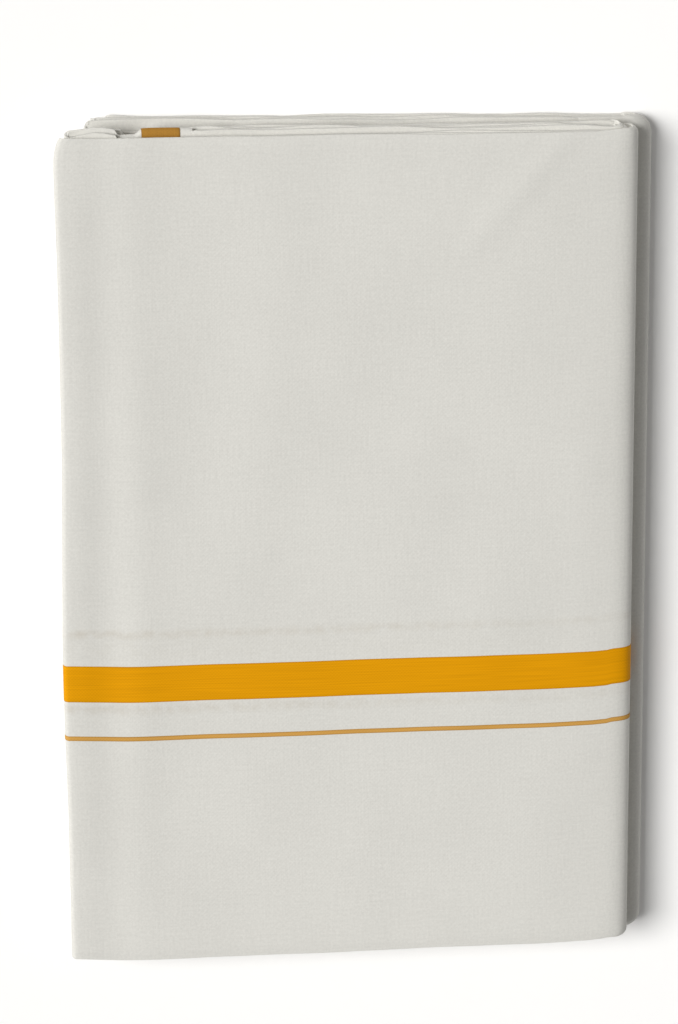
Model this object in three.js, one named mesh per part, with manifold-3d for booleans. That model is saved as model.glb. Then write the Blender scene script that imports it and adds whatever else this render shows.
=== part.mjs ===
// A double dhoti folded into a flat packet and laid on a table, front face up.
// Millimetres. X runs across the packet, Y from its near edge to its far edge, Z up from the table.
// The cloth is folded in four across its width and in sixteen along its length. The outermost turns
// are walls of their own; the layers hidden between them share one solid that is layered at its edges.

import * as THREE from 'three';
import { mergeVertices } from 'three/addons/utils/BufferGeometryUtils.js';
import Module from 'manifold-3d';

const wasm = await Module();
wasm.setup();

// Driving dimensions
const HALF_WIDTH = 113;        // half of the packet's width, over the lower fold
const NEAR_EDGE = -161.5;      // near edge of the front face
const FAR_EDGE = 158.5;        // far edge of the front face
const STACK_HEIGHT = 29;       // sixteen turns of four layers
const TURN = 1.9;              // one turn: four layers of cotton
const SEAM_GAP = 0.3;          // clearance between neighbouring pieces
const LOWER_HEIGHT = 10;       // height of the lower bundle, which reaches further right
const LOWER_REACH = 8;         // how far the lower bundle reaches past the upper fold
const LEFT_FOLD_RADIUS = 1.2;  // middle of the front turn at its left fold
const LEFT_TUCK = 14;          // length turned under at the left fold
const ARC_STEPS = 8;           // steps in a quarter of a fold

// The right fold of the upper bundle: wide above its fullest point, tight below it
const UPPER_FOLD = { run: 13, waist: 16.5, tuckRun: 8 };
// The right fold of the lower bundle
const LOWER_FOLD = { run: 5, tuckIn: 16 };

// Woven border on the front turn, measured from the near edge
const BORDER = { thickness: 1.0, endHeight: 14 };
const BORDER_STRIPES = [
  { name: 'border_band', from: 103.5, width: 14.2 },
  { name: 'border_line', from: 88.2, width: 1.8 },
];

// How the turns draw in towards their ends: distance from the end, how far the upper and lower folds
// draw in there, and how much of the back turn's far left corner is folded away.
const FOLD_ENDS = [
  { fromEnd: 0, upper: 1.6, lower: 6.0, corner: 9 },
  { fromEnd: 2, upper: 0.8, lower: 3.2, corner: 7 },
  { fromEnd: 5, upper: 0.3, lower: 1.2, corner: 5 },
  { fromEnd: 10, upper: 0, lower: 0.2, corner: 3 },
  { fromEnd: 18, upper: 0, lower: 0, corner: 1 },
  { fromEnd: 30, upper: 0, lower: 0, corner: 0 },
];
const BACK_SKEW = 3.2;         // how much further the back turn reaches at its far left than its far right

// Hidden layers, top to bottom. left and right: side edges. near: near edge.
// farLeft and farRight: far edge at either side. corner: how much of the far left corner is folded away.
const LAYER_OVERLAP = 0.4;
const LAYER_EDGE = 1.1;        // rounding of a layer's folded edge
const LAYERS = [
  { left: -96.2, right: 93.2, near: -160.8, farLeft: 157.6, farRight: 157.0, corner: 1 },
  { left: -110.4, right: 98.4, near: -160.4, farLeft: 159.0, farRight: 157.4, corner: 1 },
  { left: -108.9, right: 100.7, near: -160.9, farLeft: 158.4, farRight: 156.9, corner: 1.5 },
  { left: -108.1, right: 101.9, near: -160.1, farLeft: 158.9, farRight: 157.3, corner: 2 },
  { left: -106.9, right: 101.2, near: -160.6, farLeft: 158.2, farRight: 156.8, corner: 2.5 },
  { left: -105.6, right: 95.5, near: -159.8, farLeft: 158.7, farRight: 157.1, corner: 3 },
  { left: -104.6, right: 90.6, near: -159.4, farLeft: 161.5, farRight: 158.4, corner: 4 },
  { left: -103.2, right: 90.6, near: -159.9, farLeft: 161.1, farRight: 158.0, corner: 5 },
  { left: -101.8, right: 104.2, near: -159.3, farLeft: 161.5, farRight: 158.3, corner: 6 },
  { left: -100.4, right: 105.6, near: -159.6, farLeft: 161.3, farRight: 158.1, corner: 7 },
];

// The end of the cloth, tucked in between the turns, whose loop shows at the far edge
const END_TURN = { left: -90, right: -62.6, top: 24.8, bottom: 19.4, wall: 1.2, reach: 160.8, length: 24 };
const END_BAND = { left: -81.5, width: 14.3, thickness: 0.5, wrap: 6 };

const COTTON = { color: 0xd6d4cd, roughness: 0.9, metalness: 0 };
const GOLD_YARN = { color: 0xdb960a, roughness: 0.6, metalness: 0 };

// Closed bodies from rings, and the cuts and joins between them

// A closed body through rings of equally many points; each ring is flat, and they follow one another.
function loft(rings) {
  const size = rings[0].length;
  const positions = rings.flat().flatMap((p) => [p.x, p.y, p.z]);
  const index = [];
  for (let r = 0; r + 1 < rings.length; r += 1) {
    for (let i = 0; i < size; i += 1) {
      const j = (i + 1) % size;
      const [a, b] = [r * size + i, r * size + j];
      const [c, d] = [a + size, b + size];
      index.push(a, c, b, b, c, d);
    }
  }
  const last = (rings.length - 1) * size;
  for (const [a, b, c] of capTriangles(rings[0])) {
    index.push(a, b, c);
    index.push(last + a, last + c, last + b);
  }
  const geometry = new THREE.BufferGeometry();
  geometry.setAttribute('position', new THREE.Float32BufferAttribute(positions, 3));
  geometry.setIndex(index);
  return facingOut(geometry);
}

// Triangles that fill a flat ring, all turning the way the ring runs.
function capTriangles(ring) {
  const flatX = new Set(ring.map((p) => p.x)).size === 1;
  const outline = ring.map((p) => (flatX ? new THREE.Vector2(p.y, p.z) : new THREE.Vector2(p.x, p.z)));
  const turning = Math.sign(THREE.ShapeUtils.area(outline));
  return THREE.ShapeUtils.triangulateShape(outline, []).map(([a, b, c]) => {
    const area = THREE.ShapeUtils.area([outline[a], outline[b], outline[c]]);
    return Math.sign(area) === turning ? [a, b, c] : [a, c, b];
  });
}

// The same body with its faces turned outwards.
function facingOut(geometry) {
  const at = geometry.getAttribute('position');
  const index = geometry.getIndex();
  const [a, b, c] = [new THREE.Vector3(), new THREE.Vector3(), new THREE.Vector3()];
  let volume = 0;
  for (let i = 0; i < index.count; i += 3) {
    a.fromBufferAttribute(at, index.getX(i));
    b.fromBufferAttribute(at, index.getX(i + 1));
    c.fromBufferAttribute(at, index.getX(i + 2));
    volume += a.dot(b.cross(c));
  }
  if (volume < 0) index.array.reverse();
  return geometry;
}

function toManifold(geometry) {
  const bare = geometry.clone();
  bare.deleteAttribute('normal');
  bare.deleteAttribute('uv');
  const merged = mergeVertices(bare, 1e-4);
  return new wasm.Manifold(new wasm.Mesh({
    numProp: 3,
    vertProperties: new Float32Array(merged.getAttribute('position').array),
    triVerts: new Uint32Array(merged.getIndex().array),
  }));
}

function fromManifold(solid) {
  const mesh = solid.getMesh();
  const geometry = new THREE.BufferGeometry();
  geometry.setAttribute('position', new THREE.Float32BufferAttribute(mesh.vertProperties, 3));
  geometry.setIndex(new THREE.Uint32BufferAttribute(mesh.triVerts, 1));
  return geometry;
}

// Paths of the turns, as points of the middle of the cloth in a plane

function quarter(centreX, centreZ, runX, runZ, fromDegrees) {
  const start = THREE.MathUtils.degToRad(fromDegrees);
  return new THREE.EllipseCurve(centreX, centreZ, runX, runZ, start, start - Math.PI / 2, true)
    .getPoints(ARC_STEPS);
}

function withoutRepeats(points) {
  return points.filter((p, i) => i === 0 || p.distanceTo(points[i - 1]) > 1e-6);
}

// Front turn: tucked under at the left, over the front face, round the upper fold and into the groove.
function frontPath(drawnIn) {
  const top = STACK_HEIGHT - TURN / 2;
  const left = -HALF_WIDTH + TURN / 2 + LEFT_FOLD_RADIUS;
  const right = HALF_WIDTH - LOWER_REACH - TURN / 2 - drawnIn;
  const grooveRun = UPPER_FOLD.waist - LOWER_HEIGHT - SEAM_GAP - TURN / 2;
  return withoutRepeats([
    new THREE.Vector2(left + LEFT_TUCK, top - 2 * LEFT_FOLD_RADIUS),
    ...quarter(left, top - LEFT_FOLD_RADIUS, LEFT_FOLD_RADIUS, LEFT_FOLD_RADIUS, 270),
    ...quarter(left, top - LEFT_FOLD_RADIUS, LEFT_FOLD_RADIUS, LEFT_FOLD_RADIUS, 180),
    ...quarter(right - UPPER_FOLD.run, UPPER_FOLD.waist, UPPER_FOLD.run, top - UPPER_FOLD.waist, 90),
    ...quarter(right - UPPER_FOLD.tuckRun, UPPER_FOLD.waist, UPPER_FOLD.tuckRun, grooveRun, 0),
  ]);
}

// Back turn: from the groove round the lower fold and along the table to the left.
function backPath(drawnIn, corner) {
  const right = HALF_WIDTH - TURN / 2 - drawnIn;
  const rise = LOWER_HEIGHT / 2 - TURN / 2;
  const lastLayer = LAYERS[LAYERS.length - 1];
  return withoutRepeats([
    new THREE.Vector2(right - LOWER_FOLD.run - LOWER_FOLD.tuckIn + drawnIn, LOWER_HEIGHT - TURN / 2),
    ...quarter(right - LOWER_FOLD.run, LOWER_HEIGHT / 2, LOWER_FOLD.run, rise, 90),
    ...quarter(right - LOWER_FOLD.run, LOWER_HEIGHT / 2, LOWER_FOLD.run, rise, 0),
    new THREE.Vector2(lastLayer.left + corner, TURN / 2),
  ]);
}

// The path moved towards its left-hand side by a distance.
function movedOut(path, distance) {
  return path.map((point, i) => {
    const before = path[Math.max(i - 1, 0)];
    const after = path[Math.min(i + 1, path.length - 1)];
    const along = after.clone().sub(before).normalize();
    return new THREE.Vector2(point.x - along.y * distance, point.y + along.x * distance);
  });
}

// The outline of a wall whose faces lie at two distances from a path.
function wallOutline(path, inner, outer) {
  return [...movedOut(path, outer), ...movedOut(path, inner).reverse()];
}

// A ring across the packet; skew moves its left side further along the packet than its right.
function ringAtY(outline, y, skew = 0) {
  return outline.map((p) => new THREE.Vector3(p.x, y + skew * (0.5 - p.x / (2 * HALF_WIDTH)), p.y));
}

function ringAtX(outline, x) {
  return outline.map((p) => new THREE.Vector3(x, p.x, p.y));
}

// Sections from the near edge to the far edge, with the folds drawn in at both ends.
function foldSections(near, far) {
  const nearEnd = FOLD_ENDS.map((row) => ({ ...row, y: near + row.fromEnd, corner: 0 }));
  const farEnd = FOLD_ENDS.map((row) => ({ ...row, y: far - row.fromEnd })).reverse();
  return [...nearEnd, ...farEnd];
}

// Pieces

function frontTurn() {
  return loft(foldSections(NEAR_EDGE, FAR_EDGE).map(({ y, upper }) => (
    ringAtY(wallOutline(frontPath(upper), -TURN / 2, TURN / 2), y))));
}

function backTurn() {
  const { near, farRight } = LAYERS[LAYERS.length - 1];
  return loft(foldSections(near, farRight).map(({ y, lower, corner }) => {
    const outline = wallOutline(backPath(lower, corner), -TURN / 2, TURN / 2);
    return ringAtY(outline, y, BACK_SKEW * (y - near) / (farRight - near));
  }));
}

// A stripe of the border: over the front face and down the upper fold.
function borderStripe({ from, width }) {
  const left = -HALF_WIDTH + TURN / 2 + LEFT_FOLD_RADIUS;
  const top = STACK_HEIGHT - TURN / 2;
  const shown = frontPath(0).filter((p) => (
    p.x >= left - 1e-6 && (p.y > top - LEFT_FOLD_RADIUS / 2 || p.x > 0) && p.y > BORDER.endHeight));
  const inner = TURN / 2 + SEAM_GAP;
  const outline = wallOutline(shown, inner, inner + BORDER.thickness);
  return loft([ringAtY(outline, NEAR_EDGE + from), ringAtY(outline, NEAR_EDGE + from + width)]);
}

// One hidden layer with a half-round edge, its far left corner folded away.
function layer({ left, right, near, farLeft, farRight, corner }, bottom, height) {
  const round = 4;
  const shape = new THREE.Shape();
  shape.moveTo(left + round, near);
  shape.lineTo(right - round, near);
  shape.quadraticCurveTo(right, near, right, near + round);
  shape.lineTo(right, farRight - round);
  shape.quadraticCurveTo(right, farRight, right - round, farRight);
  shape.lineTo(left + corner + round, farLeft);
  shape.quadraticCurveTo(left + corner / 2, farLeft, left, farLeft - 2 * corner - round);
  shape.lineTo(left, near + round);
  shape.quadraticCurveTo(left, near, left + round, near);
  const geometry = new THREE.ExtrudeGeometry(shape, {
    depth: height - 2 * LAYER_EDGE,
    bevelEnabled: true,
    bevelThickness: LAYER_EDGE,
    bevelSize: LAYER_EDGE,
    bevelOffset: -LAYER_EDGE,
    bevelSegments: 2,
    curveSegments: 4,
  });
  return geometry.translate(0, 0, bottom + LAYER_EDGE);
}

// The hidden layers as one body, with a pocket for the end of the cloth.
function foldedLayers() {
  const floor = TURN + SEAM_GAP;
  const pitch = (STACK_HEIGHT - TURN - SEAM_GAP - LAYER_OVERLAP - floor) / LAYERS.length;
  const solids = LAYERS.map((row, i) => {
    const bottom = floor + (LAYERS.length - 1 - i) * pitch;
    return toManifold(layer(row, bottom, pitch + LAYER_OVERLAP));
  });
  const stack = wasm.Manifold.union(solids);
  const { left, right, top, bottom, reach, length } = END_TURN;
  const clear = 2 * SEAM_GAP + END_BAND.thickness;
  const pocket = new THREE.BoxGeometry(
    right - left + 2 * clear, length + 2 * clear, top - bottom + 2 * clear);
  pocket.translate((left + right) / 2, reach - length / 2, (top + bottom) / 2);
  return fromManifold(stack.subtract(toManifold(pocket)));
}

// The loop of the cloth's end, seen from its side: in along the top, round the far edge, back below.
function endPath() {
  const { top, bottom, wall, reach, length } = END_TURN;
  const radius = (top - bottom - wall) / 2;
  const middle = (top + bottom) / 2;
  const turn = reach - wall / 2 - radius;
  return withoutRepeats([
    new THREE.Vector2(reach - length, middle + radius),
    ...quarter(turn, middle, radius, radius, 90),
    ...quarter(turn, middle, radius, radius, 0),
    new THREE.Vector2(reach - length, middle - radius),
  ]);
}

function endTurn() {
  const { left, right, wall } = END_TURN;
  const outline = wallOutline(endPath(), -wall / 2, wall / 2);
  return loft([ringAtX(outline, left), ringAtX(outline, right)]);
}

// The band woven across the cloth's end, where it goes round the loop.
function endBand() {
  const { wall, reach } = END_TURN;
  const { left, width, thickness, wrap } = END_BAND;
  const shown = endPath().filter((p) => p.x > reach - wrap);
  const inner = wall / 2 + SEAM_GAP;
  const outline = wallOutline(shown, inner, inner + thickness);
  return loft([ringAtX(outline, left), ringAtX(outline, left + width)]);
}

function piece(name, geometry, finish) {
  const mesh = new THREE.Mesh(geometry, new THREE.MeshStandardMaterial(finish));
  mesh.name = name;
  return mesh;
}

const group = new THREE.Group();
group.name = 'dhoti_cloth';
group.add(piece('front_turn', frontTurn(), COTTON));
group.add(piece('back_turn', backTurn(), COTTON));
group.add(piece('folded_layers', foldedLayers(), COTTON));
for (const stripe of BORDER_STRIPES) group.add(piece(stripe.name, borderStripe(stripe), GOLD_YARN));
group.add(piece('end_turn', endTurn(), COTTON));
group.add(piece('end_band', endBand(), GOLD_YARN));

export default group;
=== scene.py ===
"""Looks of a folded dhoti: one length of white cotton with a golden border, folded into a flat packet."""

import math

import bmesh
import bpy
import numpy as np
from mathutils import Matrix, Vector


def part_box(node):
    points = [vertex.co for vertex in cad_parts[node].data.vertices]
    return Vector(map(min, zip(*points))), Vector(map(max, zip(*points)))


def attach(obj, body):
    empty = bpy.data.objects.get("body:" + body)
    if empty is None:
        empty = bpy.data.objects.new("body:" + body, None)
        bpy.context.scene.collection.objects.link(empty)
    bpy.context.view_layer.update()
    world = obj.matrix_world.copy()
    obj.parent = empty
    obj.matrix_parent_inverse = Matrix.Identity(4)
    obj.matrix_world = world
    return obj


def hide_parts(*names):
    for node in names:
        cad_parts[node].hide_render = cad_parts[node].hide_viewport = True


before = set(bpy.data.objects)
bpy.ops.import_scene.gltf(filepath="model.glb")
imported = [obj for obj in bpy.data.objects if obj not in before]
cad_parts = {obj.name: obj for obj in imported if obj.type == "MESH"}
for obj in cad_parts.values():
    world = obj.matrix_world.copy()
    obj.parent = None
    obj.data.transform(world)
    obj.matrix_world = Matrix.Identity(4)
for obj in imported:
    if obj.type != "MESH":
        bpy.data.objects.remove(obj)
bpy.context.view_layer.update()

bl_info = {
    "name": "Folded dhoti",
    "version": (1, 0, 0),
    "blender": (4, 5, 0),
    "location": "3D View > Sidebar > Dhoti",
    "description": "Models and finishes a folded cotton dhoti with a golden border",
    "category": "Object",
}

MM = 0.001

# Places taken from the frame, in metres
FRONT_LOW, FRONT_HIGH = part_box("front_turn")
BACK_LOW, BACK_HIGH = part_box("back_turn")
BAND_LOW, BAND_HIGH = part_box("border_band")
LINE_LOW, LINE_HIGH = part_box("border_line")
END_LOW, END_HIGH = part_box("end_turn")
END_BAND_LOW, END_BAND_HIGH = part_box("end_band")
LENGTH = FRONT_HIGH.y - FRONT_LOW.y

# The folding: turns are counted from the top. Each is four layers of cloth, shown as two doubled ones.
UPPER_TURNS = 10
LOWER_TURNS = 6
ALL_TURNS = UPPER_TURNS + LOWER_TURNS
TURNS = range(1, ALL_TURNS + 1)
DOUBLED = 0.76 * MM
LAYER_OFFSET = 0.4 * MM
SKIN = LAYER_OFFSET + DOUBLED / 2
# Room above the front turn for its creases
LOOSE = 0.3 * MM
# How far across the packet each wide fold curves, above and below its furthest point
UPPER_RUN, UPPER_TUCK = 15 * MM, 8 * MM
# Height of that furthest point, as a share of the fold's height
UPPER_WAIST = 0.3125
# 2 would make the fold's upper quarter a plain ellipse, and more makes it boxier
UPPER_SQUARENESS, LOWER_SQUARENESS = 4.4, 2
LOWER_RUN, LOWER_WAIST = 5 * MM, 0.5
# How round the folds' ends are
UPPER_END_RADIUS, LOWER_END_RADIUS, LOWER_NEAR_RADIUS = 1.6 * MM, 6 * MM, 4.5 * MM
# Each nest of turns lies this far inside the one round it, at the upper and at the lower fold
RIGHT_NESTING, LOWER_NESTING = 1.62 * MM, 1.8 * MM
# The upper fold bulges this far past the frame's front turn
RIGHT_EASE = 0.3 * MM
# The left folds run a little askew, so that what goes round them moves towards the far end
LEFT_SKEW = 0.7 * MM
# The order in which the strip passes through the turns, starting from its inner end, at the left
ORDER = [5, 6, 7, 4, 3, 8, 9, 2, 1, 10, 11, 16, 15, 12, 13, 14]

# How far each turn's left fold lies in, and how far its far and near edges stand off the frame's front
# turn, at the left and at the right. corner is how much of its far left corner is folded away. All are in
# millimetres.
EDGES = [
    dict(turn=1, left=0.0, far=0.0, far_right=-1.9, near=0.0, near_right=0.0, corner=2.8),
    dict(turn=2, left=0.0, far=-1.8, far_right=-2.6, near=0.7, near_right=0.7, corner=2.4),
    dict(turn=3, left=2.6, far=-1.2, far_right=-2.3, near=1.1, near_right=1.1, corner=0.3),
    dict(turn=4, left=2.6, far=0.7, far_right=-0.9, near=0.5, near_right=0.5, corner=0.4),
    dict(turn=5, left=4.6, far=0.3, far_right=-1.1, near=1.4, near_right=1.4, corner=0.7),
    dict(turn=6, left=4.4, far=0.6, far_right=-1.3, near=0.9, near_right=0.9, corner=1.0),
    dict(turn=7, left=4.4, far=0.3, far_right=-0.9, near=1.5, near_right=1.5, corner=1.5),
    dict(turn=8, left=6.0, far=0.6, far_right=-0.8, near=1.0, near_right=1.0, corner=2.0),
    dict(turn=9, left=6.0, far=-1.2, far_right=-2.0, near=1.7, near_right=1.7, corner=2.5),
    dict(turn=10, left=7.8, far=-2.2, far_right=-2.8, near=1.2, near_right=1.2, corner=3.0),
    dict(turn=11, left=7.8, far=3.0, far_right=-0.4, near=2.2, near_right=-0.9, corner=4.0),
    dict(turn=12, left=10.0, far=2.5, far_right=-0.9, near=1.6, near_right=-1.5, corner=4.6),
    dict(turn=13, left=10.0, far=3.1, far_right=-0.5, near=2.3, near_right=-1.1, corner=5.4),
    dict(turn=14, left=10.6, far=2.7, far_right=-0.6, near=1.7, near_right=-1.5, corner=6.4),
    dict(turn=15, left=12.0, far=3.3, far_right=-0.2, near=2.1, near_right=-1.2, corner=7.4),
    dict(turn=16, left=12.0, far=3.0, far_right=-0.4, near=1.9, near_right=-1.4, corner=8.6),
]

# The front turn is the first two, which share the left fold at the edge of the face
FRONT_TURNS = 2
# The corner is folded away over this length, more suddenly in the front turn
CORNER_START = 30 * MM
FRONT_CORNER_SHARPNESS, CORNER_SHARPNESS = 8, 3


def edge_column(name):
    """One column of the edge table, by turn."""
    return np.array([row[name] for row in EDGES]) * MM


def hex_rgba(code):
    """An sRGB hex colour as linear RGBA."""
    channels = [int(code[i : i + 2], 16) / 255 for i in (0, 2, 4)]
    linear = [c / 12.92 if c <= 0.04045 else ((c + 0.055) / 1.055) ** 2.4 for c in channels]
    return (*linear, 1.0)


# The folded strip -------------------------------------------------------------------------------


def turn_height(turn):
    """Height of the middle of a turn; turn may lie between two whole ones."""
    upper_top = FRONT_HIGH.z - SKIN - LOOSE
    upper_bottom = FRONT_LOW.z + SKIN
    lower_top = BACK_HIGH.z - SKIN
    lower_bottom = BACK_LOW.z + SKIN
    upper = np.linspace(upper_top, upper_bottom, UPPER_TURNS)
    lower = np.linspace(lower_top, lower_bottom, LOWER_TURNS)
    return np.interp(turn, TURNS, np.concatenate([upper, lower]))


def end_rounding(along, radius):
    """How far a fold with rounded ends draws in, for distances along the packet."""
    near_end = np.clip(radius - along * LENGTH, 0, radius)
    far_end = np.clip(radius - (1 - along) * LENGTH, 0, radius)
    cut = np.maximum(near_end, far_end)
    return radius - np.sqrt(radius**2 - cut**2)


def left_place(turn, along):
    """Left end of a turn, for each distance along the packet; the far left corner is folded away."""
    in_front = turn <= FRONT_TURNS
    sharpness = FRONT_CORNER_SHARPNESS if in_front else CORNER_SHARPNESS
    into_corner = np.clip((along - 1) * LENGTH / CORNER_START + 1, 0, 1) ** sharpness
    folded = np.interp(turn, TURNS, edge_column("corner")) * into_corner
    recess = np.interp(turn, TURNS, edge_column("left"))
    return FRONT_LOW.x + recess + folded + left_edge_inset(along) * in_front


# How far the front turn's left edge steps in from straight, at distances from its near edge; millimetres
LEFT_EDGE = [
    dict(at=0, inset=0.9),
    dict(at=30, inset=0.6),
    dict(at=60, inset=0.3),
    dict(at=90, inset=-0.5),
    dict(at=125, inset=-0.9),
    dict(at=160, inset=-0.5),
    dict(at=196, inset=-0.1),
    dict(at=236, inset=-0.3),
    dict(at=275, inset=-0.8),
    dict(at=320, inset=-1.8),
]


def left_edge_inset(along):
    """The front turn's left edge isn't quite straight, and steps in towards the near edge."""
    table = [(row["at"] * MM, row["inset"] * MM) for row in LEFT_EDGE]
    return np.interp(along * LENGTH, *zip(*table))


def right_place(upper, nest, along):
    """Right end of a nest of turns round the upper or the lower fold."""
    if upper:
        right = FRONT_HIGH.x - SKIN + RIGHT_EASE - nest * RIGHT_NESTING
        return right - end_rounding(along, UPPER_END_RADIUS)
    radius = np.where(along < 0.5, LOWER_NEAR_RADIUS, LOWER_END_RADIUS)
    return BACK_HIGH.x - SKIN - nest * LOWER_NESTING - end_rounding(along, radius)


class Stretch:
    """Points along the strip: x and z for each station and each distance along, and how far each station
    is on its way from one turn to the next."""

    def __init__(self, x, z, turn, after, part):
        self.x, self.z, self.turn, self.after, self.part = x, z, turn, after, part

    def level(self):
        """The turn each station is in, between two whole ones in a fold."""
        return self.turn + (self.after - self.turn) * self.part

    def edge(self, reach):
        """Where an edge lies along the stretch; in a fold it goes evenly from one turn's to the next's."""
        turn, after, part = (value[:, None] + 0 * self.x for value in (self.turn, self.after, self.part))
        return reach(turn, self.x) * (1 - part) + reach(after, self.x) * part


def panel(turn, start, end, step):
    """A flat stretch of one turn, between two side-to-side places given for each distance along."""
    count = max(2, int(abs(end.mean() - start.mean()) / step))
    part = np.linspace(0, 1, count + 1)[:, None]
    x = start[None, :] * (1 - part) + end[None, :] * part
    same = np.full(count + 1, float(turn))
    return Stretch(x, np.full_like(x, turn_height(turn)), same, same, 0 * same)


def left_fold(turn, after, along, steps):
    """A tight half circle at the left, from one turn to the one above or below it."""
    high, low = turn_height(turn), turn_height(after)
    radius = abs(high - low) / 2
    outside = radius + SKIN
    left = (left_place(turn, along) + left_place(after, along)) / 2 + outside
    angle = np.linspace(0, math.pi, steps + 1)[:, None]
    x = left[None, :] - radius * np.sin(angle)
    z = (high + low) / 2 + (high - low) / 2 * np.cos(angle) + 0 * x
    part = np.linspace(0, 1, steps + 1)
    return Stretch(x, z, turn + 0 * part, after + 0 * part, part)


def right_fold(turn, after, along, steps):
    """A wide fold at the right: an open upper quarter and a tighter lower one."""
    first, last = min(turn, after), max(turn, after)
    upper = first <= UPPER_TURNS
    nest = first - 1 if upper else first - UPPER_TURNS - 1
    top, bottom = (1, UPPER_TURNS) if upper else (UPPER_TURNS + 1, ALL_TURNS)
    full = turn_height(top) - turn_height(bottom)
    high, low = turn_height(first), turn_height(last)
    scale = (high - low) / full
    run, tuck = (UPPER_RUN, UPPER_TUCK) if upper else (LOWER_RUN, LOWER_RUN)
    squareness = UPPER_SQUARENESS if upper else LOWER_SQUARENESS
    waist = low + (high - low) * (UPPER_WAIST if upper else LOWER_WAIST)
    right = right_place(upper, nest, along)[None, :]
    angle = np.linspace(0, math.pi / 2, steps + 1)[:, None]
    above_x = right - run * scale * (1 - np.sin(angle) ** (2 / squareness))
    above_z = waist + (high - waist) * np.cos(angle) ** (2 / squareness) + 0 * above_x
    below_x = right - tuck * scale * (1 - np.cos(angle[1:]))
    below_z = waist - (waist - low) * np.sin(angle[1:]) + 0 * below_x
    x, z = np.concatenate([above_x, below_x]), np.concatenate([above_z, below_z])
    part = np.linspace(0, 1, len(x))
    if turn > after:
        x, z = x[::-1], z[::-1]
    return Stretch(x, z, turn + 0 * part, after + 0 * part, part)


# A tight left fold has half as many steps as a wide right one, but no fewer than this
LEAST_STEPS = 6


def strip(along, turns, start, end, step, arc_steps):
    """The stretches through several turns one after another, joined end to end at their folds."""
    folds = []
    for turn, after in zip(turns, turns[1:]):
        if ORDER.index(turn) % 2 == 0:
            folds.append(right_fold(turn, after, along, arc_steps))
        else:
            folds.append(left_fold(turn, after, along, max(LEAST_STEPS, arc_steps // 2)))
    starts = [start] + [fold.x[-1] for fold in folds]
    ends = [fold.x[0] for fold in folds] + [end]
    parts = []
    for i, turn in enumerate(turns):
        parts.append(panel(turn, starts[i], ends[i], step))
        parts.extend(folds[i : i + 1])
    columns = []
    for name in ("x", "z", "turn", "after", "part"):
        values = [getattr(part, name) for part in parts]
        columns.append(np.concatenate(values[:1] + [value[1:] for value in values[1:]]))
    return Stretch(*columns)


# Waves, creases and uneven edges ------------------------------------------------------------------


def smooth_step(value, low, high):
    """Zero up to low, one from high, and a smooth rise between."""
    t = np.clip((value - low) / (high - low), 0, 1)
    return t * t * (3 - 2 * t)


def window(value, low, high, soft):
    """One from low to high, and zero further out than soft from them."""
    return smooth_step(value, low - soft, low) * (1 - smooth_step(value, high, high + soft))


def ridge(distance, width):
    """A soft ridge one unit high, for distances from its line."""
    return np.exp(-((distance / width) ** 2))


# Waves of the edges, and of each turn's height near its edges: lengths and heights in millimetres
FAR_WAVES = dict(seed=3, lengths=[61, 137, 33], heights=[0.28, 0.34, 0.12])
NEAR_WAVES = dict(seed=5, lengths=[71, 119, 29], heights=[0.25, 0.3, 0.12])
STACK_WAVES = dict(seed=7, lengths=[47, 89], heights=[0.09, 0.12])


def waves(turn, x, seed, lengths, heights):
    """A smooth uneven line of its own for every turn, as a sum of a few sines."""
    counted = range(ALL_TURNS + 2)
    phases = np.random.default_rng(seed).uniform(0, 2 * math.pi, (len(lengths), len(counted)))
    total = 0
    for row, length, height in zip(phases, lengths, heights):
        phase = np.interp(turn, counted, np.unwrap(row))
        total = total + height * MM * np.sin(2 * math.pi * x / (length * MM) + phase)
    return total


# Turns that draw back round the folded end between them: from where to where, and how far
GAPS = [
    dict(first=3, last=5, low=END_LOW.x + 4 * MM, high=END_HIGH.x - 6 * MM, depth=11),
    dict(first=6, last=8, low=END_LOW.x + 6 * MM, high=END_BAND_LOW.x, depth=14),
]

# Places where a turn's far edge stands out: the middle and half width across the packet, and how far
BULGES = [
    dict(turn=3, middle=-99, width=7, reach=1.5),
    dict(turn=4, middle=-97, width=9, reach=1.9),
    dict(turn=6, middle=-56, width=8, reach=1.3),
    dict(turn=5, middle=-20, width=26, reach=0.8),
    dict(turn=7, middle=34, width=22, reach=0.9),
    dict(turn=5, middle=72, width=9, reach=1.4),
    dict(turn=7, middle=94, width=8, reach=1.5),
]


def slanted(turn, x, left, right):
    """A turn's edge, straight from one column's place at the left to another's at the right."""
    at_left, at_right = (np.interp(turn, TURNS, edge_column(name)) for name in (left, right))
    across = (x - FRONT_LOW.x) / (BACK_HIGH.x - FRONT_LOW.x)
    return at_left * (1 - across) + at_right * across


def waviness(turn):
    """Share of an edge's waves that a turn has: the front one is pressed the straightest."""
    return np.clip(turn - 1, FRONT_WAVINESS, 1)


# How softly a gap begins and ends across the packet, and how it and a bulge fade over the turns
GAP_SOFTNESS = 3 * MM
GAP_MARGIN, GAP_FADE, BULGE_FADE = 0.2, 0.6, 0.6
FRONT_WAVINESS = 0.35
# Towards the wide fold most of the waves fade, from one place across the packet to another
CALM, CALM_FROM, CALM_TO = 0.8, 76 * MM, 92 * MM
# The ends of the nested folds lie back from the far edge, inside the front turn
NEST_DEPTH, NEST_FADE = 0.9 * MM, 0.9
NEST_FROM, NEST_TO = 84 * MM, 96 * MM
# The front turn's near left corner is drawn back a little
NEAR_CORNER, NEAR_CORNER_WIDTH = 1.3 * MM, 24 * MM


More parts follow.
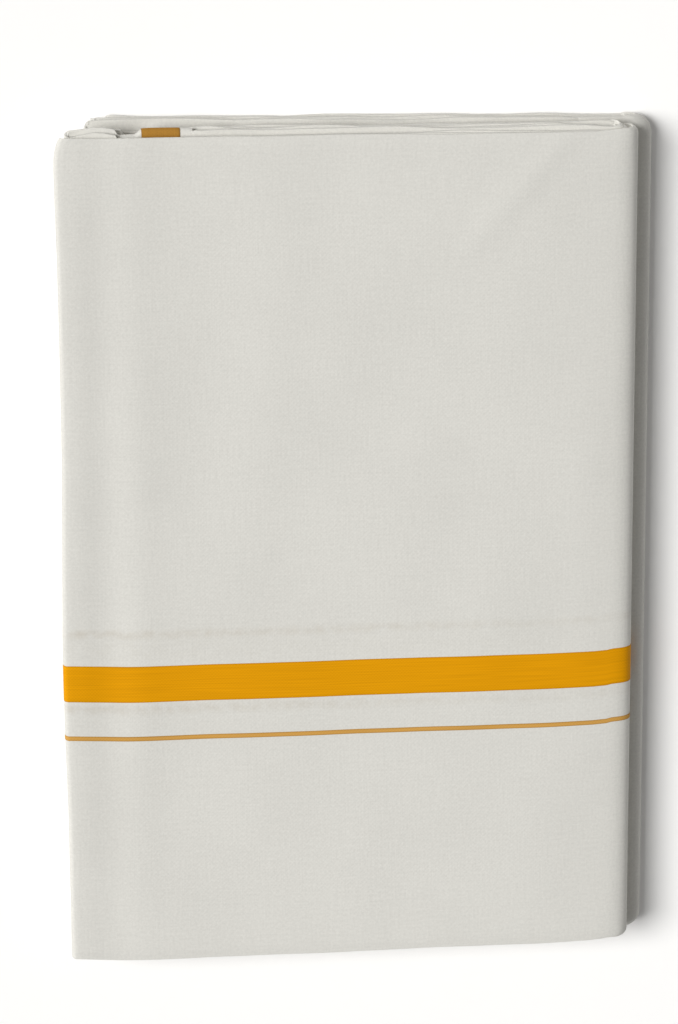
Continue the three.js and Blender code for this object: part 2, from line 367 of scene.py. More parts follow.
def far_reach(turn, x):
    """Where a turn's far edge lies, across the packet."""
    nested = window(turn, 2, UPPER_TURNS - 1, NEST_FADE) * smooth_step(x, NEST_FROM, NEST_TO)
    reach = slanted(turn, x, "far", "far_right") - NEST_DEPTH * nested
    for gap in GAPS:
        across_it = window(x, gap["low"], gap["high"], GAP_SOFTNESS)
        in_it = window(turn, gap["first"] - GAP_MARGIN, gap["last"] + GAP_MARGIN, GAP_FADE)
        reach = reach - gap["depth"] * MM * across_it * in_it
    for bulge in BULGES:
        across_it = ridge(x - bulge["middle"] * MM, bulge["width"] * MM)
        reach = reach + bulge["reach"] * MM * across_it * ridge(turn - bulge["turn"], BULGE_FADE)
    share = waviness(turn) * (1 - CALM * smooth_step(x, CALM_FROM, CALM_TO))
    return FRONT_HIGH.y + reach + share * waves(turn, x, **FAR_WAVES)


def near_reach(turn, x):
    """Where a turn's near edge lies, across the packet."""
    in_corner = 1 - smooth_step(x, FRONT_LOW.x, FRONT_LOW.x + NEAR_CORNER_WIDTH)
    reach = slanted(turn, x, "near", "near_right") + NEAR_CORNER * in_corner * (turn <= FRONT_TURNS)
    return FRONT_LOW.y + reach + waviness(turn) * waves(turn, x, **NEAR_WAVES)


# Creases of the front face: where each starts and ends across and along it, how wide and how high it is,
# in millimetres. A negative height is a trough.
CREASES = [
    dict(start=(-107, -161), end=(-107, 158), width=5.5, height=0.30),
    dict(start=(-95, -161), end=(-97, 158), width=7.5, height=-0.42),
    dict(start=(-85, -150), end=(-85, 158), width=8.0, height=0.36),
    dict(start=(-64, -161), end=(-60, 150), width=15.0, height=-0.26),
    dict(start=(-38, -60), end=(-34, 158), width=13.0, height=0.16),
    dict(start=(82, 161), end=(42, 116), width=5.5, height=0.42),
    dict(start=(66, 161), end=(46, 128), width=5.0, height=0.12),
    dict(start=(-104, 17), end=(82, 15), width=2.2, height=-0.09),
    dict(start=(86, -100), end=(84, 60), width=7.0, height=0.14),
    dict(start=(-60, -88), end=(40, -96), width=9.0, height=0.12),
    dict(start=(-20, 150), end=(-34, 60), width=10.0, height=0.10),
    dict(start=(24, -150), end=(30, -20), width=16.0, height=0.14),
]

# A crease's height towards its ends, as a share of its height in the middle, and how much of its length
# counts as an end
CREASE_END, CREASE_MARGIN = 0.45, 0.05


def segment_distance(x, y, start, end):
    """Distance from a segment, and how far along it the nearest point is, from 0 to 1."""
    (x0, y0), (x1, y1) = start, end
    length = math.hypot(x1 - x0, y1 - y0)
    ux, uy = (x1 - x0) / length, (y1 - y0) / length
    along = (x - x0) * ux + (y - y0) * uy
    beyond = along - np.clip(along, 0, length)
    return np.hypot((x - x0) * uy - (y - y0) * ux, beyond), np.clip(along / length, 0, 1)


def crease_height(x, y):
    """Height of the creases over the flat face, at places in metres."""
    total = 0
    for crease in CREASES:
        distance, part = segment_distance(x / MM, y / MM, crease["start"], crease["end"])
        part = np.clip(part, CREASE_MARGIN, 1 - CREASE_MARGIN)
        fade = CREASE_END + (1 - CREASE_END) * np.sin(math.pi * part)
        total = total + crease["height"] * fade * ridge(distance, crease["width"])
    return total * MM


# The cloth's own uneven lie: length of a wave across and along the packet and its height, in millimetres,
# and its shift
RIPPLES = [
    dict(across=83, along=190, height=0.10, shift=0.4),
    dict(across=-61, along=112, height=0.07, shift=2.1),
    dict(across=34, along=-260, height=0.035, shift=4.4),
    dict(across=170, along=57, height=0.05, shift=1.3),
    dict(across=-45, along=-39, height=0.02, shift=5.2),
]


def ripple_height(x, y):
    """Height of the cloth's uneven lie, at places in metres."""
    total = 0
    for row in RIPPLES:
        waves_on = x / MM / row["across"] + y / MM / row["along"]
        total = total + row["height"] * np.sin(2 * math.pi * waves_on + row["shift"])
    return total * MM


# Heights between which the cloth comes free of the flat underside
FREE_FROM, FREE_TO = 1.5 * MM, 6 * MM
# The creases of the face fade over this height, round its folds
FACE_DEPTH = 3 * MM
# The strip is askew below this turn
SKEWED_TURN = 1.7
# How far in from its edges a turn's height waves, and how the front turn's edges bend down
STACK_REACH = 7 * MM
EDGE_BEND, EDGE_BEND_REACH = 0.45 * MM, 2.2 * MM
# The face sinks towards the wide right fold, from this place across the packet, on an even curve
CROWN_START = 45 * MM
CROWN_CURVE = 0.0007 / MM


# Sheets ---------------------------------------------------------------------------------------------


def along_rows(step, fine):
    """Distances along the packet from 0 to 1, closer together towards both ends."""
    ends = np.cumsum(fine) * MM
    count = int((LENGTH - 2 * ends[-1]) / step)
    middle = np.linspace(ends[-1], LENGTH - ends[-1], count + 1)
    rows = np.concatenate([[0], ends[:-1], middle, LENGTH - ends[-2::-1], [LENGTH]])
    return rows / LENGTH


def moved_out(points, offset):
    """The points of a grid, moved along its normals."""
    normal = np.cross(np.gradient(points, axis=0), np.gradient(points, axis=1))
    normal /= np.linalg.norm(normal, axis=-1, keepdims=True)
    return points + normal * offset


def laid(stretch, along, offset):
    """Points of a sheet that follows a stretch of the strip at an offset to its outer side."""
    turn = stretch.level()[:, None] + 0 * stretch.x
    near, far = stretch.edge(near_reach), stretch.edge(far_reach)
    y = near + along[None, :] * (far - near)
    y = y + LEFT_SKEW * smooth_step(turn, 1, SKEWED_TURN)
    to_end = np.minimum(along, 1 - along)[None, :] * LENGTH
    free = smooth_step(stretch.z, FREE_FROM, FREE_TO)
    below = np.clip(turn - 1, 0, 1) * free
    on_top = smooth_step(stretch.z, turn_height(1) - FACE_DEPTH, turn_height(1))
    z = stretch.z + stretch.z / FRONT_HIGH.z * free * ripple_height(stretch.x, y)
    z = z + below * ridge(to_end, STACK_REACH) * waves(turn, stretch.x, **STACK_WAVES)
    z = z + on_top * (crease_height(stretch.x, y) - EDGE_BEND * ridge(to_end, EDGE_BEND_REACH))
    upper_low = turn_height(UPPER_TURNS)
    sunk = CROWN_CURVE * np.clip(stretch.x - CROWN_START, 0, None) ** 2 / (turn_height(1) - upper_low)
    z = z - np.clip(z - upper_low, 0, None) * sunk
    return moved_out(np.stack([stretch.x, y, z], axis=-1), offset)


def lengths_along(points):
    """Lengths from the first row of a grid to each of its rows, measured on its surface."""
    steps = np.linalg.norm(np.diff(points, axis=0), axis=-1).mean(axis=1)
    return np.concatenate([[0], np.cumsum(steps)])


def add_grid(bm, uv, points, across):
    """A grid laid through the points, with its places on the flat cloth in metres as UV."""
    stations, rows = points.shape[:2]
    half = 0.5
    made = bmesh.ops.create_grid(bm, x_segments=stations - 1, y_segments=rows - 1, size=half)["verts"]
    lengths = lengths_along(points)
    place = {}
    for vert in made:
        i = round((vert.co.x + half) * (stations - 1))
        j = round((vert.co.y + half) * (rows - 1))
        place[vert] = (lengths[i], across[j])
        vert.co = points[i, j]
    for face in {face for vert in made for face in vert.link_faces}:
        face.smooth = True
        for loop in face.loops:
            loop[uv].uv = place[loop.vert]


# The sheets' thickened rims meet their faces at more than this
SHARP_EDGE = math.radians(60)


def new_sheet(name, grids, thickness, rounding, material, slot, nodes):
    """A piece of sheets, thickened, with soft edges, that stands for some of the frame's nodes."""
    bm = bmesh.new()
    uv = bm.loops.layers.uv.new("Cloth")
    for points, across in grids:
        add_grid(bm, uv, points, across)
    mesh = bpy.data.meshes.new(name)
    bm.to_mesh(mesh)
    bm.free()
    piece = bpy.data.objects.new(name, mesh)
    bpy.context.scene.collection.objects.link(piece)
    mesh.materials.append(material)
    solid = piece.modifiers.new("Thickness", "SOLIDIFY")
    solid.thickness = thickness
    solid.offset = 0
    bevel = piece.modifiers.new("Soft edges", "BEVEL")
    bevel.width = rounding
    bevel.segments = 2
    bevel.limit_method = "ANGLE"
    bevel.angle_limit = SHARP_EDGE
    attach(piece, "root")
    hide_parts(*nodes)
    return piece


# Materials ------------------------------------------------------------------------------------------


def add_node(tree, kind, inputs=(), **settings):
    """Adds a node with its settings, and its inputs set to values or linked to other nodes."""
    node = tree.nodes.new(kind)
    for name, value in settings.items():
        setattr(node, name, value)
    for socket, value in dict(inputs).items():
        if isinstance(value, bpy.types.Node):
            value = value.outputs[0]
        if isinstance(value, bpy.types.NodeSocket):
            tree.links.new(value, node.inputs[socket])
        else:
            node.inputs[socket].default_value = value
    return node


def new_material(name):
    """A material with nothing but a shader, and its node tree."""
    material = bpy.data.materials.new(name)
    material.use_nodes = True
    material.node_tree.nodes.clear()
    shader = add_node(material.node_tree, "ShaderNodeBsdfPrincipled", {"IOR": COTTON_IOR})
    add_node(material.node_tree, "ShaderNodeOutputMaterial", {"Surface": shader})
    return material, material.node_tree, shader


# Refraction of cotton fibre
COTTON_IOR = 1.53
# Sockets of a colour Mix node
FACTOR, COLOUR_A, COLOUR_B, MIXED = 0, 6, 7, 2
# Thread spacings. The cloth's own 0.3 mm is drawn coarser, in cotton and border, so that it shows.
COTTON_PITCH = 0.8 * MM
BORDER_PITCH = 0.62 * MM
# Slubs are thick places in the yarn, long and thin
SLUB_LENGTH, SLUB_WIDTH = 14 * MM, 0.7 * MM
MOTTLE_SIZE = 38 * MM
# Specks are where yarns bunch up or lie apart. They count for more than the slubs and the mottling.
GRAIN_SIZE, GRAIN_WEIGHT = 1.1 * MM, 4.0
# The sum of slubs, mottling and specks that is darkest and lightest, and how dark the darkest is
COTTON_LEVELS, COTTON_DARKEST = (2.65, 4.35), 0.88
COTTON_RELIEF, WEAVE_WEIGHT = 0.05 * MM, 0.35
# The border's yarns run along it, closely ribbed
YARN_LENGTH, YARN_WIDTH = 30 * MM, 0.5 * MM
BORDER_LEVELS, BORDER_SHADES = (0.25, 0.75), (0.9, 1.08)
BORDER_RELIEF, RIB_WEIGHT = 0.06 * MM, 0.16
# The border's outermost yarns lie lower, in their neighbours' shade
EDGE_YARNS, EDGE_SHADE = 0.6 * MM, 0.72
# The stripes that show through, and the painted shade below the band, are patchy and weaker towards the
# right: from and to these lengths along the cloth
PATCH_SIZE, PATCH_LEVELS = 5 * MM, (0.3, 0.65)
SHOWN_FROM, SHOWN_TO, SHOWN_LEAST = 30 * MM, 210 * MM, 0.45
# Beige of the border seen through the cotton, also used for the painted shade below the band
SHOWN_THROUGH_AND_SHADE_COLOUR = "a08c6a"

# Stripes of the border on the flap beneath, which show faintly through the front. The lowest, just below the
# band, is partly that border's edge showing through and partly painted shade at the step where the flap
# beneath ends.
SHOWN_THROUGH_AND_SHADE = [
    dict(middle=130.2 * MM, half_width=2.9 * MM, strength=0.21),
    dict(middle=124.0 * MM, half_width=8.0 * MM, strength=0.05),
    # Partly the beneath border's edge showing through, partly painted shade at the step where the flap
    # beneath ends
    dict(middle=100.6 * MM, half_width=3.4 * MM, strength=0.2),
]


def cloth_place(tree):
    """The place on the flat cloth: along the strip, and from its near edge."""
    uv = add_node(tree, "ShaderNodeUVMap", uv_map="Cloth")
    apart = add_node(tree, "ShaderNodeSeparateXYZ", {"Vector": uv})
    return uv, apart.outputs["X"], apart.outputs["Y"]


def weave_height(tree, along, across, pitch):
    """A plain weave: threads that pass over and under each other by turns."""
    rate = math.pi / pitch
    warp = add_node(tree, "ShaderNodeMath", {0: along, 1: rate}, operation="MULTIPLY")
    weft = add_node(tree, "ShaderNodeMath", {0: across, 1: rate}, operation="MULTIPLY")
    warp = add_node(tree, "ShaderNodeMath", {0: warp}, operation="SINE")
    weft = add_node(tree, "ShaderNodeMath", {0: weft}, operation="SINE")
    return add_node(tree, "ShaderNodeMath", {0: warp, 1: weft}, operation="MULTIPLY")


def slub_height(tree, uv, along, across):
    """Long thin thick places in yarns, of this size along the strip and across it."""
    scale = (1 / along, 1 / across, 1)
    stretched = add_node(tree, "ShaderNodeMapping", {"Vector": uv, "Scale": scale})
    return add_node(tree, "ShaderNodeTexNoise", {"Vector": stretched, "Scale": 1.0, "Detail": 2.0})


def shaded(tree, colour, shade):
    """A colour made darker or lighter by a pattern."""
    settings = dict(data_type="RGBA", blend_type="MULTIPLY")
    inputs = {FACTOR: 1.0, COLOUR_A: (*colour, 1), COLOUR_B: shade}
    return add_node(tree, "ShaderNodeMix", inputs, **settings).outputs[MIXED]


def bleached_cotton(name, colour, shows_through_and_shade):
    """Bleached cotton, plain woven: matt, a little warm, with uneven yarns and faint mottling."""
    material, tree, shader = new_material(name)
    uv, along, across = cloth_place(tree)
    weave = weave_height(tree, along, across, COTTON_PITCH)
    warp = slub_height(tree, uv, SLUB_LENGTH, SLUB_WIDTH)
    weft = slub_height(tree, uv, SLUB_WIDTH, SLUB_LENGTH)
    slubs = add_node(tree, "ShaderNodeMath", {0: warp, 1: weft}, operation="ADD")
    mottle = add_node(
        tree, "ShaderNodeTexNoise", {"Vector": uv, "Scale": 1 / MOTTLE_SIZE, "Detail": 3.0}
    )
    grain = add_node(
        tree,
        "ShaderNodeTexNoise",
        {"Vector": uv, "Scale": 1 / GRAIN_SIZE, "Detail": 3.0, "Roughness": 0.8},
    )
    level = add_node(tree, "ShaderNodeMath", {0: slubs, 1: mottle}, operation="ADD")
    level = add_node(tree, "ShaderNodeMath", {0: grain, 1: GRAIN_WEIGHT, 2: level}, operation="MULTIPLY_ADD")
    darkest, lightest = COTTON_LEVELS
    shade = add_node(
        tree,
        "ShaderNodeMapRange",
        {"Value": level, "From Min": darkest, "From Max": lightest, "To Min": COTTON_DARKEST, "To Max": 1.0},
    )
    base = shaded(tree, colour, shade)
    if shows_through_and_shade:
        base = show_through_and_shade(tree, base, uv, along, across)
    tree.links.new(base, shader.inputs["Base Color"])
    rise = add_node(tree, "ShaderNodeMath", {0: weave, 1: WEAVE_WEIGHT, 2: slubs}, operation="MULTIPLY_ADD")
    bump = add_node(tree, "ShaderNodeBump", {"Height": rise, "Strength": 0.5, "Distance": COTTON_RELIEF})
    tree.links.new(bump.outputs[0], shader.inputs["Normal"])
    shader.inputs["Roughness"].default_value = 0.92
    shader.inputs["Specular IOR Level"].default_value = 0.25
    shader.inputs["Sheen Weight"].default_value = 0.12
    shader.inputs["Sheen Roughness"].default_value = 0.5
    return material


def show_through_and_shade(tree, base, uv, along, across):
    """Faint beige stripes where a coloured border lies beneath thin cloth, weaker towards the right; the one
    just below the band is partly painted shade.
    """
    left = add_node(
        tree,
        "ShaderNodeMapRange",
        {"Value": along, "From Min": SHOWN_FROM, "From Max": SHOWN_TO, "To Min": 1.0, "To Max": SHOWN_LEAST},
    )
    patches = add_node(
        tree, "ShaderNodeTexNoise", {"Vector": uv, "Scale": 1 / PATCH_SIZE, "Detail": 4.0}
    )
    faint, full = PATCH_LEVELS
    patchy = add_node(tree, "ShaderNodeMapRange", {"Value": patches, "From Min": faint, "From Max": full})
    left = add_node(tree, "ShaderNodeMath", {0: left, 1: patchy}, operation="MULTIPLY")
    for stripe in SHOWN_THROUGH_AND_SHADE:
        apart = add_node(tree, "ShaderNodeMath", {0: across, 1: stripe["middle"]}, operation="SUBTRACT")
        apart = add_node(tree, "ShaderNodeMath", {0: apart}, operation="ABSOLUTE")
        share = add_node(
            tree,
            "ShaderNodeMapRange",
            {"Value": apart, "From Max": stripe["half_width"], "To Min": stripe["strength"], "To Max": 0.0},
            interpolation_type="SMOOTHSTEP",
        )
        share = add_node(tree, "ShaderNodeMath", {0: share, 1: left}, operation="MULTIPLY")
        inputs = {FACTOR: share, COLOUR_A: base, COLOUR_B: hex_rgba(SHOWN_THROUGH_AND_SHADE_COLOUR)}
        base = add_node(tree, "ShaderNodeMix", inputs, data_type="RGBA").outputs[MIXED]
    return base


def gold_yarn(name, colour, low, high):
    """Golden mercerised yarn, woven with a close rib and darker along both edges, from low to high:
    a very soft gloss along the yarns, matt in between."""
    material, tree, shader = new_material(name)
    uv, along, across = cloth_place(tree)
    weave = weave_height(tree, along, across, BORDER_PITCH)
    yarns = slub_height(tree, uv, YARN_LENGTH, YARN_WIDTH)
    level = add_node(tree, "ShaderNodeMath", {0: weave, 1: RIB_WEIGHT, 2: yarns}, operation="MULTIPLY_ADD")
    (lowest, highest), (darkest, lightest) = BORDER_LEVELS, BORDER_SHADES
    shade = add_node(
        tree,
        "ShaderNodeMapRange",
        {"Value": level, "From Min": lowest, "From Max": highest, "To Min": darkest, "To Max": lightest},
    )
    outer = (high - low) / 2
    inner = outer - EDGE_YARNS
    aside = add_node(tree, "ShaderNodeMath", {0: across, 1: (low + high) / 2}, operation="SUBTRACT")
    aside = add_node(tree, "ShaderNodeMath", {0: aside}, operation="ABSOLUTE")
    edge = add_node(
        tree,
        "ShaderNodeMapRange",
        {"Value": aside, "From Min": inner, "From Max": outer, "To Min": 1.0, "To Max": EDGE_SHADE},
    )
    shade = add_node(tree, "ShaderNodeMath", {0: shade, 1: edge}, operation="MULTIPLY")
    tree.links.new(shaded(tree, colour, shade), shader.inputs["Base Color"])
    bump = add_node(tree, "ShaderNodeBump", {"Height": level, "Strength": 0.6, "Distance": BORDER_RELIEF})
    tree.links.new(bump.outputs[0], shader.inputs["Normal"])
    shader.inputs["Roughness"].default_value = 0.7
    shader.inputs["Specular IOR Level"].default_value = 0.06
    return material


def studio_paper(name, colour):
    """Matt seamless paper, pale and plain."""
    material, _, shader = new_material(name)
    shader.inputs["Base Color"].default_value = (*colour, 1)
    shader.inputs["Roughness"].default_value = 1.0
    shader.inputs["Specular IOR Level"].default_value = 0.0
    return material


# Settings -------------------------------------------------------------------------------------------


def colour_setting(name, description, code):
    """A colour that a user can change, with an sRGB hex default."""
    return bpy.props.FloatVectorProperty(
        name=name,
        description=description,
        default=hex_rgba(code)[:3],
        size=3,
        subtype="COLOR",
        min=0,
        max=1,
    )


def size_setting(name, description, size):
    """A length that a user can change, in metres."""
    return bpy.props.FloatProperty(name=name, description=description, default=size, unit="LENGTH")


def angle_setting(name, description, degrees):
    """An angle that a user can change, with its default in degrees."""
    angle = math.radians(degrees)
    return bpy.props.FloatProperty(name=name, description=description, default=angle, subtype="ANGLE")


def strength_setting(name, description, strength):
    """A light's strength that a user can change."""
    return bpy.props.FloatProperty(name=name, description=description, default=strength, min=0)


class DhotiCloth(bpy.types.PropertyGroup):
    """The cotton and how finely it is modelled."""

    cotton: colour_setting("Cotton", "Colour of the bleached cotton", "dbd9d2")
    thickness: size_setting("Doubled thickness", "Thickness of two layers lying on each other", DOUBLED)
    rounding: size_setting("Edge rounding", "Radius of the folded edges", 0.26 * MM)
    front_step: size_setting("Front step", "Size of the front sheet's faces", 1.85 * MM)
    back_step: size_setting("Back step", "Size of the underside's faces", 2.6 * MM)
    inner_step: size_setting("Inner step", "Size of the hidden layers' faces", 4.2 * MM)


class DhotiBorder(bpy.types.PropertyGroup):
    """The woven border."""

    band: colour_setting("Band", "Colour of the wide band", "dc9602")
    line: colour_setting("Line", "Colour of the thin line below the band", "cc9a4e")
    # The end's colour is the border's own gold painted darker and duller: painted shade of the recess at the
    # far edge where the end fold lies
    end: colour_setting("End", "Colour of the band where it shows at the end fold", "a87a34")
    thickness: size_setting("Thickness", "Thickness of the border's raised yarns", 0.2 * MM)
    proud: size_setting("Proud", "How far the border stands out of the cotton", 0.1 * MM)


class DhotiStage(bpy.types.PropertyGroup):
    """The floor, the lights and the camera."""

    paper: colour_setting("Paper", "Colour of the floor", "fcfbf9")
    key: strength_setting("Key light", "Strength of the large soft light", 3.2)
    softness: angle_setting("Softness", "How wide the large light looks", 28)
    ambient: strength_setting("Ambient", "Strength of the light from all round", 0.235)
    distance: size_setting("Camera distance", "From the camera to the packet", 1.831)
    tilt: angle_setting("Tilt", "Camera's lean towards the far end", 14.55)
    yaw: angle_setting("Yaw", "Camera's lean towards the left", 7.2)


# Pieces ---------------------------------------------------------------------------------------------

# The turns that the front sheet and the back sheet pass through
FRONT_ROUTE, BACK_ROUTE = [2, 1, 10], [11, 16, 15]
# Where those sheets end inside the packet, across it
FRONT_START, FRONT_END = -88 * MM, 78 * MM
BACK_START, BACK_END = 84 * MM, -84 * MM
# Where the strip's own two ends lie, in the middle of each bundle
FIRST_END, LAST_END = -105 * MM, -99 * MM
# Where the border ends inside the packet, past both folds of the front turn
BORDER_START, BORDER_END = -100 * MM, 88 * MM
# How many faces go round one fold, in each sheet
FRONT_ARC, BACK_ARC, INNER_ARC, BORDER_ARC = 14, 9, 10, 16
BAND_ROWS, LINE_ROWS = 10, 4
# The raised yarns' edges are rounded off this much
YARN_ROUNDING = 0.06 * MM
# Faces' lengths from an edge inwards, in millimetres, and the hidden layers' faces in between
FINE_ROWS = [0.4, 0.6, 0.9, 1.3, 1.8]
COARSE_ROWS = [0.4, 0.6, 0.9, 1.5, 2.6, 4.5, 8.0, 14.0]
INNER_ROWS = 50 * MM

# The end fold: its loop's top under END_HIGH, its flat stretches and its faces round the loop
END_DROP = 1.8 * MM
END_INSET = 0.5 * MM
END_FLAT, END_ARC = 5, 15
# Left of its band the loop hangs loose. It draws back and its lower half lifts.
LOOSE_FROM, LOOSE_TO = END_BAND_LOW.x - 2.5 * MM, END_BAND_LOW.x + 0.5 * MM
LOOSE_BACK, LOOSE_LIFT = 1.9 * MM, 0.75
END_LEAN = 0.25 * MM
END_DEPTH, END_BORDER_DEPTH = 10 * MM, 8 * MM
END_COLUMNS, END_BORDER_COLUMNS = 28, 16
END_YARNS, END_PROUD = 0.24 * MM, 0.1 * MM


def at(x, along):
    """The same place across the packet for each distance along it."""
    return np.full(len(along), x)


def border_grid(low, high, offset, step, rows):
    """Points of a stripe of the border, over the front sheet and round both its folds."""
    along = np.linspace((low - FRONT_LOW.y) / LENGTH, (high - FRONT_LOW.y) / LENGTH, rows)
    way = strip(along, FRONT_ROUTE, at(BORDER_START, along), at(BORDER_END, along), step, BORDER_ARC)
    return laid(way, along, offset), along * LENGTH


def end_fold_points(x, y_back, offset):
    """A free end of the cloth that shows between two turns: a loose loop, seen from its end."""
    top = END_HIGH.z - END_DROP
    radius = (top - END_LOW.z - DOUBLED) / 2
    middle = (top + END_LOW.z) / 2
    front = END_HIGH.y - radius - DOUBLED / 2 - END_INSET
    angle = np.linspace(math.pi / 2, -math.pi / 2, END_ARC)
    upper, lower = np.linspace(y_back, front, END_FLAT)[:-1], np.linspace(front, y_back, END_FLAT)[1:]
    y = np.concatenate([upper, front + radius * np.cos(angle), lower])
    z = np.concatenate([np.full(len(upper), radius), radius * np.sin(angle), np.full(len(lower), -radius)])
    loose = 1 - smooth_step(x, LOOSE_FROM, LOOSE_TO)
    lean = END_LEAN * np.sin((x - END_LOW.x) / (END_HIGH.x - END_LOW.x) * math.pi)
    grid_y = y[:, None] + (lean - LOOSE_BACK * loose)[None, :] * smooth_step(y, y_back, front)[:, None]
    grid_z = middle + z[:, None] * (1 - LOOSE_LIFT * loose[None, :] * (z[:, None] < 0))
    return moved_out(np.stack([x[None, :] + 0 * grid_y, grid_y, grid_z], axis=-1), -offset)


class DHOTI_OT_front(bpy.types.Operator):
    """Lay the front sheet, from its left fold over the face and round the wide right fold"""

    bl_idname = "dhoti.front"
    bl_label = "Front sheet"

    def execute(self, context):
        cloth = context.scene.dhoti_cloth
        along = along_rows(cloth.front_step, FINE_ROWS)
        start, end = at(FRONT_START, along), at(FRONT_END, along)
        way = strip(along, FRONT_ROUTE, start, end, cloth.front_step, FRONT_ARC)
        grids = [(laid(way, along, LAYER_OFFSET), along * LENGTH)]
        material = bleached_cotton("bleached_cotton_front", tuple(cloth.cotton), True)
        edges = (cloth.thickness, cloth.rounding)
        sheet = new_sheet("front_sheet", grids, *edges, material, "cotton", ["front_turn"])
        return {"FINISHED"}


class DHOTI_OT_back(bpy.types.Operator):
    """Lay the sheet that the packet rests on, with the lower fold at the right"""

    bl_idname = "dhoti.back"
    bl_label = "Back sheet"

    def execute(self, context):
        cloth = context.scene.dhoti_cloth
        along = along_rows(cloth.back_step, FINE_ROWS)
        start, end = at(BACK_START, along), at(BACK_END, along)
        way = strip(along, BACK_ROUTE, start, end, cloth.back_step, BACK_ARC)
        grids = [(laid(way, along, LAYER_OFFSET), along * LENGTH)]
        material = bleached_cotton("bleached_cotton_back", tuple(cloth.cotton), False)
        edges = (cloth.thickness, cloth.rounding)
        sheet = new_sheet("back_sheet", grids, *edges, material, "cotton", ["back_turn"])
        return {"FINISHED"}


class DHOTI_OT_inner(bpy.types.Operator):
    """Lay the rest of the folded strip, of which only the edges show"""

    bl_idname = "dhoti.inner"
    bl_label = "Inner layers"

    def execute(self, context):
        cloth = context.scene.dhoti_cloth
        along = along_rows(INNER_ROWS, COARSE_ROWS)
        first, last = at(FIRST_END, along), at(LAST_END, along)
        # The outer side of the strip between the front and the back sheet, and its whole inner side
        routes = [
            (ORDER[:8], first, at(FRONT_START, along), LAYER_OFFSET),
            (ORDER[9:11], at(FRONT_END, along), at(BACK_START, along), LAYER_OFFSET),
            (ORDER[12:], at(BACK_END, along), last, LAYER_OFFSET),
            (ORDER, first, last, -LAYER_OFFSET),
        ]
        grids = []
        for turns, start, end, offset in routes:
            way = strip(along, turns, start, end, cloth.inner_step, INNER_ARC)
            grids.append((laid(way, along, offset), along * LENGTH))
        material = bleached_cotton("bleached_cotton_edges", tuple(cloth.cotton), False)
        edges = (cloth.thickness, cloth.rounding)
        layers = new_sheet("inner_layers", grids, *edges, material, "cotton", ["folded_layers"])
        return {"FINISHED"}


class DHOTI_OT_border(bpy.types.Operator):
    """Weave the band and the thin line of the border over the front sheet"""

    bl_idname = "dhoti.border"
    bl_label = "Border"

    def execute(self, context):
        border = context.scene.dhoti_border
        cloth = context.scene.dhoti_cloth
        offset = SKIN + border.proud - border.thickness / 2
        stripes = [
            ("border_stripe", BAND_LOW, BAND_HIGH, BAND_ROWS, border.band, "border_band"),
            ("border_pinstripe", LINE_LOW, LINE_HIGH, LINE_ROWS, border.line, "border_line"),
        ]
        for name, low, high, rows, colour, node in stripes:
            grids = [border_grid(low.y, high.y, offset, cloth.front_step, rows)]
            places = grids[0][1]
            material = gold_yarn(f"gold_yarn_{name}", tuple(colour), places[0], places[-1])
            new_sheet(name, grids, border.thickness, YARN_ROUNDING, material, "gold_border", [node])
        return {"FINISHED"}


class DHOTI_OT_end(bpy.types.Operator):
    """Make the end fold that shows between two turns at the far edge, with its piece of border"""

    bl_idname = "dhoti.end"
    bl_label = "End fold"

    def execute(self, context):
        cloth = context.scene.dhoti_cloth
        border = context.scene.dhoti_border
        x = np.linspace(END_LOW.x, END_HIGH.x, END_COLUMNS)
        grids = [(end_fold_points(x, END_HIGH.y - END_DEPTH, 0), x - x[0])]
        material = bleached_cotton("bleached_cotton_end", tuple(cloth.cotton), False)
        edges = (cloth.thickness, cloth.rounding)
        fold = new_sheet("end_fold", grids, *edges, material, "cotton", ["end_turn"])
        x = np.linspace(END_BAND_LOW.x, END_BAND_HIGH.x, END_BORDER_COLUMNS)
        offset = cloth.thickness / 2 + END_PROUD
        grids = [(end_fold_points(x, END_HIGH.y - END_BORDER_DEPTH, offset), x - x[0])]
        # Painted shade: the end fold's border takes the darker gold of the end colour
        material = gold_yarn("gold_yarn_end_painted_shade", tuple(border.end), 0, x[-1] - x[0])
        edges = (END_YARNS, YARN_ROUNDING)
        band = new_sheet("end_border", grids, *edges, material, "gold_border", ["end_band"])
        return {"FINISHED"}


# The floor's half width, and the large light's place: at the left and a little beyond the far end, so
# that it leaves the lower fold in shade
FLOOR_REACH = 4.0
KEY_PLACE = Vector((-1.3, 0.33, 1.65))
# The camera's lens, and its shift that centres the packet
LENS, LENS_SHIFT = 168.9, (-0.0182, 0.0253)


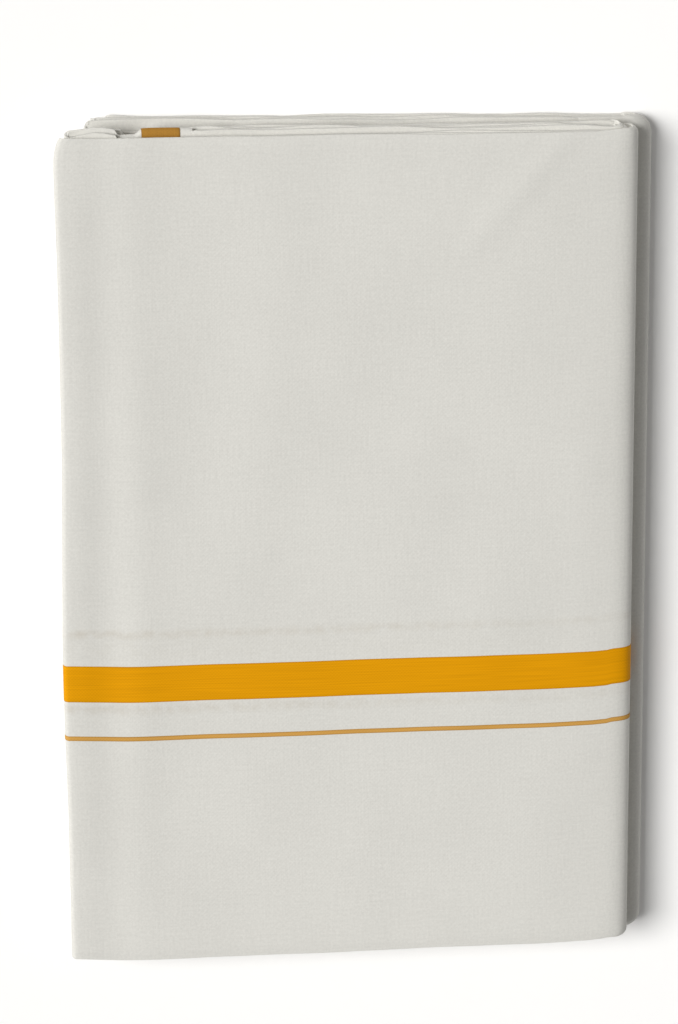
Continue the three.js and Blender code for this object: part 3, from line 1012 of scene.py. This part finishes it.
class DHOTI_OT_stage(bpy.types.Operator):
    """Set out the pale floor, the soft lights and the camera"""

    bl_idname = "dhoti.stage"
    bl_label = "Stage"

    def execute(self, context):
        stage = context.scene.dhoti_stage
        self.floor(context, stage)
        self.lights(context, stage)
        self.camera(context, stage)
        context.scene.view_settings.view_transform = "Standard"
        return {"FINISHED"}

    def floor(self, context, stage):
        bm = bmesh.new()
        bmesh.ops.create_grid(bm, x_segments=1, y_segments=1, size=FLOOR_REACH)
        mesh = bpy.data.meshes.new("floor")
        bm.to_mesh(mesh)
        bm.free()
        mesh.materials.append(studio_paper("studio_paper", tuple(stage.paper)))
        floor = bpy.data.objects.new("floor", mesh)
        context.scene.collection.objects.link(floor)

    def lights(self, context, stage):
        world = bpy.data.worlds.new("studio")
        context.scene.world = world
        world.use_nodes = True
        background = world.node_tree.nodes["Background"]
        background.inputs["Color"].default_value = hex_rgba("ffffff")
        background.inputs["Strength"].default_value = stage.ambient
        key = bpy.data.lights.new("key", "SUN")
        key.energy = stage.key
        key.angle = stage.softness
        lamp = bpy.data.objects.new("key", key)
        lamp.location = KEY_PLACE
        lamp.rotation_euler = lamp.location.to_track_quat("Z", "Y").to_euler()
        context.scene.collection.objects.link(lamp)

    def camera(self, context, stage):
        lens = bpy.data.cameras.new("camera")
        lens.lens = LENS
        lens.shift_x, lens.shift_y = LENS_SHIFT
        level = math.cos(stage.tilt)
        away = Vector((-math.sin(stage.yaw) * level, math.sin(stage.tilt), math.cos(stage.yaw) * level))
        camera = bpy.data.objects.new("camera", lens)
        camera.location = Vector((0, 0, FRONT_HIGH.z / 2)) + away * stage.distance
        right = Vector((0, 1, 0)).cross(away).normalized()
        camera.rotation_euler = Matrix((right, away.cross(right), away)).transposed().to_euler()
        context.scene.collection.objects.link(camera)
        context.scene.camera = camera


class DHOTI_PT_panel(bpy.types.Panel):
    """The dhoti's pieces and settings"""

    bl_idname = "DHOTI_PT_panel"
    bl_label = "Dhoti"
    bl_space_type = "VIEW_3D"
    bl_region_type = "UI"
    bl_category = "Dhoti"

    def draw(self, context):
        for name in SETTINGS:
            box = self.layout.box()
            group = getattr(context.scene, name)
            for setting in group.__annotations__:
                box.prop(group, setting)
        for operator in OPERATORS:
            self.layout.operator(operator.bl_idname)


SETTINGS = {"dhoti_cloth": DhotiCloth, "dhoti_border": DhotiBorder, "dhoti_stage": DhotiStage}
OPERATORS = [DHOTI_OT_stage, DHOTI_OT_border, DHOTI_OT_front, DHOTI_OT_back, DHOTI_OT_inner, DHOTI_OT_end]
CLASSES = [*SETTINGS.values(), *OPERATORS, DHOTI_PT_panel]


def register():
    for kind in CLASSES:
        bpy.utils.register_class(kind)
    for name, kind in SETTINGS.items():
        setattr(bpy.types.Scene, name, bpy.props.PointerProperty(type=kind))


def unregister():
    for name in SETTINGS:
        delattr(bpy.types.Scene, name)
    for kind in reversed(CLASSES):
        bpy.utils.unregister_class(kind)


def main():
    register()
    for operator in OPERATORS:
        group, name = operator.bl_idname.split(".")
        getattr(getattr(bpy.ops, group), name)()


if __name__ == "__main__":
    main()
